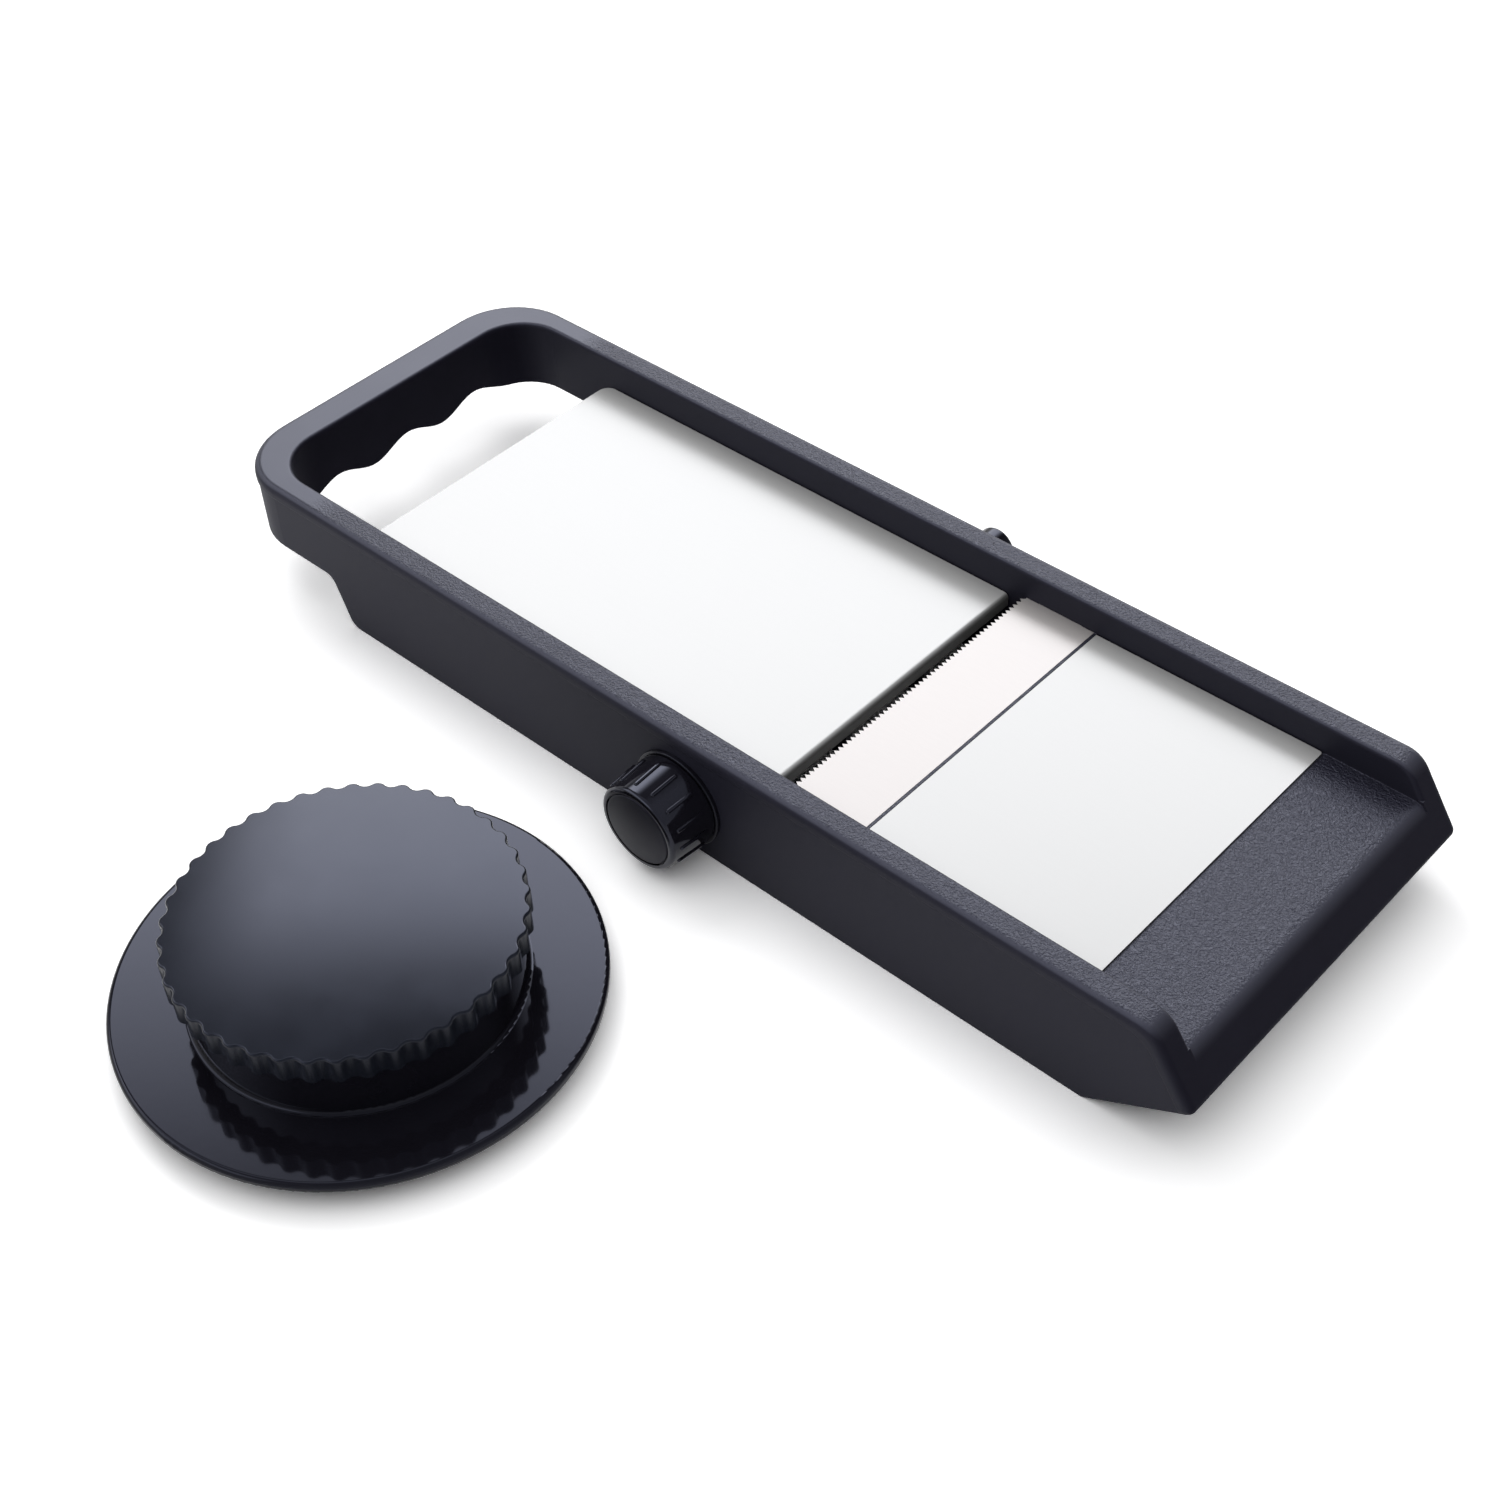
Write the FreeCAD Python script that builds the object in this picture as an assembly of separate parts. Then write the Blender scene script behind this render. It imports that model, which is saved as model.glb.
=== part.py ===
import FreeCAD, Part
import math
import os

Vector = FreeCAD.Vector

# Mandoline slicer with a loose hand guard, in millimetres.
# X runs from the handle to the foot, Y across from the knob side, Z up from the board.
# The origin is the middle of the slicer's own length and width, on the board.

# Frame, across and up
channel_width = 99.0
rail_width = 8.0
body_height = 37.0
plate_drop = 8.4
feed_step = 1.6
skin = 2.2
rail_cap = 3.0
rim_band = 3.6
rim_step = 0.4
outer_round = 2.2
inner_round = 1.2

# Frame, along
handle_bar_width = 12.2
finger_gap_length = 38.0
feed_plate_length = 154.0
throat_gap = 4.6
blade_width = 23.4
plate_seam = 1.0
landing_plate_length = 69.0
apron_length = 22.2
nose_reach = 13.2

# Handle loop
handle_bar_height = 21.5
handle_outer_radius = 22.0
handle_inner_radius = 15.0
grip_pitch = 27.3
grip_depth = 4.0
grip_waves = 3
step_setback = 7.0
step_run = 6.0
step_round = 4.0

# Foot, deck and ribs
nose_height = 17.2
nose_round = 2.0
nose_top_round = 8.0
sole_run = 27.6
deck_nose_round = 6.0
deck_drop = 0.5
end_wall = 3.0
deck_thickness = 3.0
heel_height = 11.0
deck_rib_depth = 8.0
deck_rib_count = 2
rail_rib_pitch = 33.0
rib_thickness = 2.0

# Steel plates
sheet = 0.8
sheet_side_gap = 0.4
sheet_bend = 1.4
lip_depth = 4.0
plate_corner = 3.6
landing_corner = 0.8
seat_gap = 0.1

# Blade and its end clamps
blade_thickness = 0.8
blade_overhang = 10.0
blade_grind = 5.0
blade_tip = 0.2
tooth_pitch = 1.6
tooth_depth = 1.2
bridge_lip = 1.6
bridge_depth = 9.0
blade_tab_length = 14.0
blade_tab_reach = 4.0
clamp_height = 7.0
blade_screw_radius = 1.2
blade_screw_head = 1.9
blade_screw_head_height = 1.5
blade_screw_bite = 5.0

# Feed carrier and its hinge
carrier_side_gap = 0.8
carrier_end_gap = 1.5
carrier_deck = 1.6
carrier_depth = 13.0
carrier_rib = 2.4
carrier_rib_rows = 4
carrier_cross_ribs = 4
cross_rib_depth = 7.2
cross_rib_clear = 10.0
hinge_setback = 5.6
hinge_drop = 6.5
hinge_pin_radius = 2.0
hinge_pin_grip = 9.8
hinge_pin_reach = 4.5
hinge_barrel_radius = 4.2
hinge_barrel_length = 12.0

# Thickness adjuster
shaft_setback = 23.3
shaft_drop = 11.1
crank_throw = 1.75
crank_turn = 120.0
crank_bar_radius = 2.0
crank_slot_gap = 0.25
journal_radius = 2.5
running_gap = 0.05
web_radius = 3.9
web_thickness = 1.3
web_gap = 0.4
bush_flange_radius = 14.2
bush_flange = 1.2
bush_flange_round = 0.4
turn_gap = 0.3

# Knob
knob_base_radius = 13.4
knob_front_radius = 12.5
knob_length = 14.2
knob_round = 1.2
knob_ribs = 14
knob_rib_width = 1.2
knob_rib_height = 0.5
knob_rib_round = 0.45
knob_rib_phase = 16.0
knob_front_band = 2.8
knob_rear_band = 2.2
knob_shell = 2.4
knob_hub_radius = 5.0
knob_front_thickness = 4.0
cover_radius = 10.5
cover_thickness = 1.3
cover_dome = 0.7
cover_round = 0.5
cover_gap = 0.4
knob_screw_radius = 1.2
knob_screw_head = 2.4
knob_screw_head_height = 1.4
knob_screw_bite = 7.0

# Far end of the shaft
cap_radius = 5.9
cap_length = 16.3
cap_round = 1.2
washer_radius = 5.4
washer_thickness = 0.6

# Hand guard
guard_offset = 10.0
guard_distance = 28.8
flange_radius = 60.8
flange_thickness = 2.4
rim_bead = 3.4
rim_round = 1.3
flange_height = 9.0
neck_radius = 41.0
neck_fillet = 1.2
neck_height = 15.5
neck_wall = 2.2
spigot_height = 4.0
guard_cap_radius = 44.0
guard_cap_height = 7.0
guard_cap_top = 2.4
guard_cap_round = 0.6
guard_flutes = 42
guard_flute_depth = 1.2
guard_fit = 0.1
post_radius = 4.0
post_circle = 27.0
post_count = 3
prong_plate_thickness = 2.4
prong_radius = 1.1
prong_tip_radius = 0.4
prong_taper = 3.0
prong_sink = 1.4
prong_outer_circle = 31.0
prong_outer_count = 9
prong_inner_circle = 15.0
prong_inner_count = 5
guard_screw_radius = 1.3
guard_screw_head = 2.6
guard_screw_head_height = 1.6
guard_screw_bite = 8.0

# Stations along the slicer
body_length = (handle_bar_width + finger_gap_length + feed_plate_length + throat_gap + blade_width
               + plate_seam + landing_plate_length + apron_length + nose_reach)
handle_end = -body_length / 2
bar_inner = handle_end + handle_bar_width
feed_start = bar_inner + finger_gap_length
feed_end = feed_start + feed_plate_length
blade_edge = feed_end + throat_gap
blade_back = blade_edge + blade_width
landing_start = blade_back + plate_seam
landing_end = landing_start + landing_plate_length
rail_end = landing_end + apron_length
nose_tip = rail_end + nose_reach
step_foot = feed_start - step_setback + step_run
heel_start = step_foot + step_round
bridge_front = blade_edge + blade_overhang
ramp_end = bridge_front + bridge_depth
bridge_back = ramp_end + skin

# Levels and half widths
half_channel = channel_width / 2
half_body = half_channel + rail_width
half_wall = half_body - rim_step
rim_bottom = body_height - rim_band
plate_top = body_height - plate_drop
handle_bottom = body_height - handle_bar_height
blade_seat = plate_top - blade_thickness
landing_bottom = plate_top - sheet
deck_top = plate_top - deck_drop
deck_bottom = landing_bottom - deck_thickness
feed_top = plate_top - feed_step
feed_bottom = feed_top - sheet
carrier_bottom = feed_bottom - carrier_depth
carrier_half = half_channel - carrier_side_gap
carrier_start = feed_start + carrier_end_gap
carrier_end = feed_end - sheet_bend - seat_gap

# Turning centres
hinge_x = feed_start + hinge_setback
hinge_z = feed_top - hinge_drop
shaft_x = feed_end - shaft_setback
shaft_z = feed_top - shaft_drop
bush_radius = web_radius + web_gap
crank_angle = math.radians(crank_turn / 2)
crank_x = shaft_x + crank_throw * math.cos(crank_angle)
crank_z = shaft_z + crank_throw * math.sin(crank_angle)
bush_inner_end = half_channel + web_thickness + turn_gap
bush_outer_end = half_wall + bush_flange
knob_back = bush_outer_end + turn_gap
knob_face = knob_back + knob_length
knob_shaft_end = knob_face - knob_front_thickness
washer_back = bush_outer_end + turn_gap
cap_back = washer_back + washer_thickness
cap_end = cap_back + cap_length

# Hand guard place
guard_x = -guard_offset
guard_y = -(half_body + guard_distance + flange_radius)
cap_base = flange_height + neck_height
neck_bore = neck_radius - neck_wall
spigot_radius = neck_radius - neck_wall / 2

# Cuts run this far past the faces that they open
past = 1.0
# Room for rounding when a place is compared
tiny = 0.01
# Points along each wave of the handle's grip
wave_steps = 6


def box(x0, x1, y0, y1, z0, z1):
    return Part.makeBox(x1 - x0, y1 - y0, z1 - z0, Vector(x0, y0, z0))


def rounded_wire(corners):
    # Closed outline through (point, radius) corners, with a tangent arc at each radius
    edges = []
    last_end = None
    first_start = None
    count = len(corners)
    for i, (point, radius) in enumerate(corners):
        to_last = (corners[i - 1][0] - point).normalize()
        to_next = (corners[(i + 1) % count][0] - point).normalize()
        start = point
        end = point
        if radius > 0:
            half_angle = to_last.getAngle(to_next) / 2
            back = radius / math.tan(half_angle)
            middle = (to_last + to_next).normalize() * (radius / math.sin(half_angle) - radius)
            start = point + to_last * back
            end = point + to_next * back
        if last_end is not None:
            edges.append(Part.LineSegment(last_end, start).toShape())
        else:
            first_start = start
        if radius > 0:
            edges.append(Part.Arc(start, point + middle, end).toShape())
        last_end = end
    edges.append(Part.LineSegment(last_end, first_start).toShape())
    return Part.Wire(edges)


def plan_prism(corners, z0, z1):
    # Outline of (x, y, radius) corners raised from z0 to z1
    wire = rounded_wire([(Vector(x, y, z0), radius) for x, y, radius in corners])
    return Part.Face(wire).extrude(Vector(0, 0, z1 - z0))


def side_prism(corners, y0, y1):
    # Outline of (x, z, radius) corners run across from y0 to y1
    wire = rounded_wire([(Vector(x, y0, z), radius) for x, z, radius in corners])
    return Part.Face(wire).extrude(Vector(0, y1 - y0, 0))


def turned(corners, centre, axis):
    # Outline of (radius, height, corner radius) corners turned about an axis through centre
    side = Vector(1, 0, 0)
    points = [(centre + side * r + axis * h, rounding) for r, h, rounding in corners]
    return Part.Face(rounded_wire(points)).revolve(centre, axis, 360)


def rod(radius, start, end):
    along = end - start
    return Part.makeCylinder(radius, along.Length, start, along)


def cross_rod(radius, x, z, y0, y1):
    return rod(radius, Vector(x, y0, z), Vector(x, y1, z))


def mirrored(shape):
    return shape.mirror(Vector(0, 0, 0), Vector(0, 1, 0))


def end_face_x(z, inset):
    # Where the slanted nose wall, set in by a wall thickness, stands at a height
    drop = body_height - nose_height
    run = inset * math.hypot(nose_reach, drop) / drop
    return rail_end + (body_height - z) * nose_reach / drop - run


# Frame

def frame_block():
    far = nose_tip + past
    plan = [(handle_end, -half_body, handle_outer_radius), (far, -half_body, 0),
            (far, half_body, 0), (handle_end, half_body, handle_outer_radius)]
    back = handle_end - past
    side = [(back, handle_bottom, 0), (step_foot - step_run, handle_bottom, step_round),
            (step_foot, 0, step_round), (nose_tip - sole_run, 0, 0),
            (nose_tip, nose_height, nose_round), (rail_end, body_height, nose_top_round),
            (back, body_height, 0)]
    block = plan_prism(plan, 0, body_height)
    block = block.common(side_prism(side, -half_body, half_body))
    sides = [edge for edge in block.Edges if at_rail_top(edge) and abs(edge.CenterOfMass.y) > half_channel
             and edge.CenterOfMass.x > feed_start]
    return block.makeFillet(outer_round, sides)


def at_rail_top(edge):
    span = edge.BoundBox
    return span.ZMin > body_height - tiny and span.ZMax < body_height + tiny


def rim_tool():
    # Outer walls stand back under a rim that runs along the top and down the slanted end
    far = nose_tip + past
    start = handle_end + rim_step
    corner = handle_outer_radius - rim_step
    wall = [(start, -half_wall, corner), (far, -half_wall, 0),
            (far, half_wall, 0), (start, half_wall, corner)]
    back = handle_end - past
    side = [(back, -past, 0), (back, rim_bottom, 0),
            (end_face_x(rim_bottom, rim_band), rim_bottom, nose_top_round),
            (end_face_x(-past, rim_band), -past, 0)]
    around = side_prism(side, -half_body - past, half_body + past)
    return around.cut(plan_prism(wall, -2 * past, body_height))


def channel_tool():
    # Food channel above the plates, and the open well from the handle to the blade bridge
    far = nose_tip + past
    channel = [(bar_inner, -half_channel, handle_inner_radius), (far, -half_channel, 0),
               (far, half_channel, 0), (bar_inner, half_channel, handle_inner_radius)]
    well = [(bar_inner, -half_channel, handle_inner_radius), (bridge_front, -half_channel, 0),
            (bridge_front, half_channel, 0), (bar_inner, half_channel, handle_inner_radius)]
    above = plan_prism(channel, plate_top, body_height + past)
    return above.fuse(plan_prism(well, -past, body_height + past))


def soften_channel(shape):
    # Small round along the channel's rim, round the inside of the handle
    rim = [edge for edge in shape.Edges if at_rail_top(edge) and in_channel(edge)]
    return shape.makeFillet(inner_round, rim)


def in_channel(edge):
    span = edge.BoundBox
    across = max(abs(span.YMin), abs(span.YMax))
    return span.XMin > bar_inner - tiny and across < half_channel + tiny


def deck_edge_tool():
    # Deck a little under the landing plate, with a large round where it turns down into the slanted nose
    far = nose_tip + past
    low = nose_height + nose_round
    side = [(landing_end, deck_top, 0), (end_face_x(deck_top, 0), deck_top, deck_nose_round),
            (end_face_x(low, 0), low, 0), (far, low, 0), (far, plate_top + past, 0),
            (landing_end, plate_top + past, 0)]
    return side_prism(side, -half_channel, half_channel)


def under_deck_tool():
    # Hollow under the blade bridge and the foot deck, back to the slanted nose wall
    bridge_bottom = blade_seat - bridge_lip - bridge_depth
    side = [(bridge_front - past, -past, 0), (bridge_front - past, blade_seat - bridge_lip, 0),
            (bridge_front, blade_seat - bridge_lip, 0), (ramp_end, bridge_bottom, 0),
            (bridge_back, bridge_bottom, 0), (bridge_back, deck_bottom, 0),
            (end_face_x(deck_bottom, end_wall), deck_bottom, 0),
            (end_face_x(-past, end_wall), -past, 0)]
    return side_prism(side, -half_channel, half_channel)


def grip_tool():
    # Wave cut into the underside of the handle bar, one hollow for each finger
    half_span = grip_waves * grip_pitch / 2
    points = []
    steps = grip_waves * wave_steps
    for i in range(steps + 1):
        y = -half_span + 2 * half_span * i / steps
        swell = 0.5 + 0.5 * math.cos(2 * math.pi * y / grip_pitch)
        points.append(Vector(handle_end - past, y, handle_bottom + grip_depth * swell))
    wave = Part.BSplineCurve()
    wave.interpolate(points)
    below = handle_bottom - past
    corner_a = Vector(points[-1].x, points[-1].y, below)
    corner_b = Vector(points[0].x, points[0].y, below)
    edges = [wave.toShape(), Part.LineSegment(points[-1], corner_a).toShape(),
             Part.LineSegment(corner_a, corner_b).toShape(), Part.LineSegment(corner_b, points[0]).toShape()]
    return Part.Face(Part.Wire(edges)).extrude(Vector(handle_bar_width + 2 * past, 0, 0))


def rail_hollow_tool():
    # Hollow of the near rail, open below, with stiffening ribs and solid bosses left standing
    y0 = -half_wall + skin
    y1 = -half_channel - skin
    start = heel_start + skin
    top = body_height - rail_cap
    side = [(start, -past, 0), (start, top, 0), (end_face_x(top, end_wall), top, 0),
            (end_face_x(-past, end_wall), -past, 0)]
    hollow = side_prism(side, y0, y1)
    rib_count = int((rail_end - start) / rail_rib_pitch)
    keep = [box(start + i * rail_rib_pitch, start + i * rail_rib_pitch + rib_thickness, y0, y1, -past, top)
            for i in range(1, rib_count + 1)]
    bosses = [(hinge_x, hinge_pin_radius), (shaft_x, bush_radius)]
    keep += [box(x - r - skin, x + r + skin, y0, y1, -past, top) for x, r in bosses]
    tab_start, tab_end = blade_tab_span()
    keep.append(box(tab_start - skin, tab_end + skin, y0, y1, -past, top))
    return hollow.cut(Part.makeCompound(keep))


def blade_tab_span():
    middle = (blade_edge + tooth_depth + blade_back) / 2
    return middle - blade_tab_length / 2, middle + blade_tab_length / 2


def rail_openings():
    # Near rail: bore for the shaft bush, hole for the hinge pin and the pocket for the blade's end
    tab_start, tab_end = blade_tab_span()
    pocket_end = -half_channel - blade_tab_reach - seat_gap
    pocket = box(tab_start - seat_gap, tab_end + seat_gap, pocket_end, -half_channel + past, -past, plate_top)
    bush_bore = cross_rod(bush_radius, shaft_x, shaft_z, -half_body - past, -half_channel + past)
    pin_end = -half_channel - hinge_pin_reach - seat_gap
    pin_hole = cross_rod(hinge_pin_radius + running_gap, hinge_x, hinge_z, pin_end, -half_channel + past)
    screw_top = plate_top + blade_screw_bite
    screw_hole = rod(blade_screw_radius, blade_screw_place(plate_top - past), blade_screw_place(screw_top))
    return pocket.fuse([bush_bore, pin_hole, screw_hole])


def blade_screw_place(z):
    tab_start, tab_end = blade_tab_span()
    return Vector((tab_start + tab_end) / 2, -half_channel - blade_tab_reach / 2, z)


def deck_ribs():
    ribs = []
    for i in range(deck_rib_count):
        y = channel_width * ((i + 1) / (deck_rib_count + 1) - 0.5)
        end = end_face_x(deck_bottom, end_wall / 2)
        ribs.append(box(bridge_back - skin / 2, end, y - rib_thickness / 2, y + rib_thickness / 2,
                        deck_bottom - deck_rib_depth, deck_bottom))
    return ribs


def seat_tools():
    # Shallow recesses that let the blade and the landing plate lie level with the deck
    blade = box(bridge_front - past, blade_back + seat_gap, -half_channel, half_channel,
                blade_seat, plate_top + past)
    landing = box(landing_start - seat_gap, landing_end + seat_gap, -half_channel, half_channel,
                  landing_bottom, plate_top + past)
    return [blade, landing]


def make_frame():
    frame = frame_block().cut(rim_tool())
    frame = soften_channel(frame.cut(channel_tool()))
    frame = frame.cut(deck_edge_tool())
    frame = frame.cut(grip_tool())
    frame = frame.cut(under_deck_tool())
    frame = frame.cut(seat_tools())
    heel = box(heel_start, heel_start + skin, -half_channel - skin / 2, half_channel + skin / 2,
               0, heel_height)
    frame = frame.fuse([heel] + deck_ribs())
    hollow = rail_hollow_tool()
    openings = rail_openings()
    frame = frame.cut([hollow, mirrored(hollow), openings, mirrored(openings)])
    return frame.removeSplitter()


# Steel plates and blade

def make_landing_plate():
    half = half_channel - sheet_side_gap
    corners = [(landing_start, -half, 0), (landing_end, -half, landing_corner),
               (landing_end, half, landing_corner), (landing_start, half, 0)]
    return plan_prism(corners, landing_bottom, plate_top)


def make_feed_plate():
    # Flat sheet with rounded upper corners and a lip folded down at the lower end
    half = half_channel - sheet_side_gap
    lip_bottom = feed_top - lip_depth
    side = [(feed_start, feed_top, 0), (feed_end, feed_top, sheet_bend), (feed_end, lip_bottom, 0),
            (feed_end - sheet, lip_bottom, 0), (feed_end - sheet, feed_bottom, sheet_bend - sheet),
            (feed_start, feed_bottom, 0)]
    plan = [(feed_start, -half, plate_corner), (feed_end + past, -half, 0),
            (feed_end + past, half, 0), (feed_start, half, plate_corner)]
    folded = side_prism(side, -half, half)
    return folded.common(plan_prism(plan, lip_bottom - past, feed_top + past))


def blade_outline():
    # Straight back with an end tab on each side, and a row of teeth towards the handle
    half = half_channel - seat_gap
    tab_start, tab_end = blade_tab_span()
    reach = half_channel + blade_tab_reach
    root = blade_edge + tooth_depth
    points = [(root, half), (tab_start, half), (tab_start, reach), (tab_end, reach), (tab_end, half),
              (blade_back, half), (blade_back, -half), (tab_end, -half), (tab_end, -reach),
              (tab_start, -reach), (tab_start, -half), (root, -half)]
    teeth = int(2 * half / tooth_pitch)
    margin = half - teeth * tooth_pitch / 2
    for i in range(teeth):
        y = -half + margin + i * tooth_pitch
        points.append((root, y))
        points.append((blade_edge, y + tooth_pitch / 2))
    points.append((root, half - margin))
    return points


def make_blade():
    outline = [Vector(x, y, blade_seat) for x, y in blade_outline()]
    strip = Part.Face(Part.makePolygon(outline + outline[:1])).extrude(Vector(0, 0, blade_thickness))
    tip_bottom = plate_top - blade_tip
    grind = [(blade_edge - past, blade_seat - past, 0), (blade_edge - past, tip_bottom, 0),
             (blade_edge, tip_bottom, 0), (blade_edge + blade_grind, blade_seat, 0),
             (blade_edge + blade_grind, blade_seat - past, 0)]
    strip = strip.cut(side_prism(grind, -half_channel, half_channel))
    hole = rod(blade_screw_radius + running_gap, blade_screw_place(blade_seat - past),
               blade_screw_place(plate_top + past))
    return strip.cut([hole, mirrored(hole)])


def make_blade_clamps():
    tab_start, tab_end = blade_tab_span()
    block = box(tab_start, tab_end, -half_channel - blade_tab_reach, -half_channel - seat_gap,
                blade_seat - clamp_height, blade_seat)
    hole = rod(blade_screw_radius + running_gap, blade_screw_place(0), blade_screw_place(plate_top))
    block = block.cut(hole)
    return Part.makeCompound([block, mirrored(block)])


def make_blade_screws():
    seat = blade_seat - clamp_height
    shank = rod(blade_screw_radius, blade_screw_place(seat), blade_screw_place(plate_top + blade_screw_bite))
    head = rod(blade_screw_head, blade_screw_place(seat - blade_screw_head_height), blade_screw_place(seat))
    screw = shank.fuse(head).removeSplitter()
    return Part.makeCompound([screw, mirrored(screw)])


# Feed carrier and hinge

def carrier_ribs():
    half = carrier_half
    ribs = []
    for i in range(carrier_rib_rows):
        y = -half + i * (2 * half - carrier_rib) / (carrier_rib_rows - 1)
        ribs.append(box(carrier_start, carrier_end, y, y + carrier_rib, carrier_bottom, feed_bottom))
    last = crank_x - cross_rib_clear
    for i in range(carrier_cross_ribs):
        x = carrier_start + i * (last - carrier_start) / (carrier_cross_ribs - 1)
        ribs.append(box(x, x + carrier_rib, -half, half, feed_bottom - cross_rib_depth, feed_bottom))
    return ribs


def crank_slot():
    # Slot across the ribs: the crank bar lifts and lowers the carrier in it
    radius = crank_bar_radius + crank_slot_gap
    far_x = shaft_x + crank_throw
    ends = [cross_rod(radius, x, crank_z, -half_channel, half_channel) for x in (crank_x, far_x)]
    middle = box(crank_x, far_x, -half_channel, half_channel, crank_z - radius, crank_z + radius)
    return middle.fuse(ends).removeSplitter()


def make_feed_carrier():
    half = carrier_half
    deck = box(carrier_start, carrier_end, -half, half, feed_bottom - carrier_deck, feed_bottom)
    barrel = cross_rod(hinge_barrel_radius, hinge_x, hinge_z, -half, -half + hinge_barrel_length)
    carrier = deck.fuse(carrier_ribs() + [barrel, mirrored(barrel)])
    bore = cross_rod(hinge_pin_radius, hinge_x, hinge_z, -half - past, -half + hinge_pin_grip)
    carrier = carrier.cut([crank_slot(), bore, mirrored(bore)])
    return carrier.removeSplitter()


def make_hinge_pins():
    inner = -carrier_half + hinge_pin_grip
    pin = cross_rod(hinge_pin_radius, hinge_x, hinge_z, -half_channel - hinge_pin_reach, inner)
    return Part.makeCompound([pin, mirrored(pin)])


# Thickness adjuster

def make_bush():
    # Flanged bush of the near side, pushed into the rail from outside
    bore = journal_radius + running_gap
    return near_turned([(bore, bush_inner_end, 0), (bush_radius, bush_inner_end, 0),
                        (bush_radius, half_wall, 0), (bush_flange_radius, half_wall, 0),
                        (bush_flange_radius, bush_outer_end, bush_flange_round), (bore, bush_outer_end, 0)])


def near_turned(corners):
    # Turned about the shaft, with heights measured out towards the knob
    return turned(corners, Vector(shaft_x, 0, shaft_z), Vector(0, -1, 0))


def make_crank_shaft():
    inner = half_channel + turn_gap / 2
    web_end = half_channel + web_thickness
    bar = cross_rod(crank_bar_radius, crank_x, crank_z, -inner, inner)
    web = cross_rod(web_radius, shaft_x, shaft_z, -web_end, -inner)
    near = cross_rod(journal_radius, shaft_x, shaft_z, -knob_shaft_end, -web_end)
    far = cross_rod(journal_radius, shaft_x, shaft_z, web_end, cap_end - skin)
    shaft = bar.fuse([web, mirrored(web), near, far])
    tapped = cross_rod(knob_screw_radius, shaft_x, shaft_z, -knob_shaft_end - past,
                       -knob_shaft_end + knob_screw_bite)
    return shaft.cut(tapped).removeSplitter()


def knob_blank():
    # Tapered cup with a central hub, open towards the rail, and a recess for the cover
    body = near_turned([(0, knob_back, 0), (knob_base_radius, knob_back, 0),
                        (knob_front_radius, knob_face, knob_round), (0, knob_face, 0)])
    start = knob_back - past
    hollow = near_turned([(knob_hub_radius, start, 0), (knob_base_radius - knob_shell, start, 0),
                          (knob_front_radius - knob_shell, knob_shaft_end, 0),
                          (knob_hub_radius, knob_shaft_end, 0)])
    recess_floor = -knob_face + cover_thickness
    recess = cross_rod(cover_radius + cover_gap, shaft_x, shaft_z, -knob_face - past, recess_floor)
    return body.cut([hollow, recess])


def knob_rib():
    # Round-ended bar, upright on the slope of the knob's side, with its top edge rounded
    half = knob_rib_width / 2
    root = knob_shell / 2
    slope = (knob_base_radius - knob_front_radius) / knob_length
    front, rear = [Vector(0, back - knob_face, knob_front_radius - root + slope * back)
                   for back in (knob_front_band + half, knob_length - knob_rear_band - half)]
    along = (rear - front).normalize()
    across = Vector(half, 0, 0)
    up = Vector(1, 0, 0).cross(along)
    edges = [Part.LineSegment(front + across, rear + across).toShape(),
             Part.Arc(rear + across, rear + along * half, rear - across).toShape(),
             Part.LineSegment(rear - across, front - across).toShape(),
             Part.Arc(front - across, front - along * half, front + across).toShape()]
    bar = Part.Face(Part.Wire(edges)).extrude(up * (root + knob_rib_height))
    top = max(bar.Faces, key=lambda face: face.CenterOfMass.dot(up))
    return bar.makeFillet(knob_rib_round, top.Edges)


def make_knob():
    rib = knob_rib()
    ribs = []
    for i in range(knob_ribs):
        copy = rib.copy()
        copy.rotate(Vector(0, 0, 0), Vector(0, 1, 0), knob_rib_phase + 360 * i / knob_ribs)
        copy.translate(Vector(shaft_x, 0, shaft_z))
        ribs.append(copy)
    shaft_bore = cross_rod(journal_radius, shaft_x, shaft_z, -knob_shaft_end, 0)
    head_seat = -knob_face + cover_thickness + knob_screw_head_height
    screw_bore = cross_rod(knob_screw_radius + running_gap, shaft_x, shaft_z, -knob_face, 0)
    head_bore = cross_rod(knob_screw_head + running_gap, shaft_x, shaft_z, -knob_face, head_seat)
    return knob_blank().fuse(ribs).cut([shaft_bore, screw_bore, head_bore]).removeSplitter()


def make_knob_cover():
    # Disc with a shallow dome and a rounded edge that stands proud of the knob's rim
    disc = cross_rod(cover_radius, shaft_x, shaft_z, -knob_face, -knob_face + cover_thickness)
    ball_radius = (cover_radius ** 2 + cover_dome ** 2) / (2 * cover_dome)
    ball = Part.makeSphere(ball_radius, Vector(shaft_x, -knob_face - cover_dome + ball_radius, shaft_z))
    slab = cross_rod(cover_radius, shaft_x, shaft_z, -knob_face - cover_dome - past, -knob_face)
    cover = disc.fuse(ball.common(slab)).removeSplitter()
    rim = min((edge for edge in cover.Edges if edge.isClosed()), key=lambda edge: edge.CenterOfMass.y)
    return cover.makeFillet(cover_round, [rim])


def make_knob_screw():
    head_front = -knob_face + cover_thickness
    seat = head_front + knob_screw_head_height
    head = cross_rod(knob_screw_head, shaft_x, shaft_z, head_front, seat)
    shank = cross_rod(knob_screw_radius, shaft_x, shaft_z, seat, -knob_shaft_end + knob_screw_bite)
    return head.fuse(shank).removeSplitter()


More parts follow.
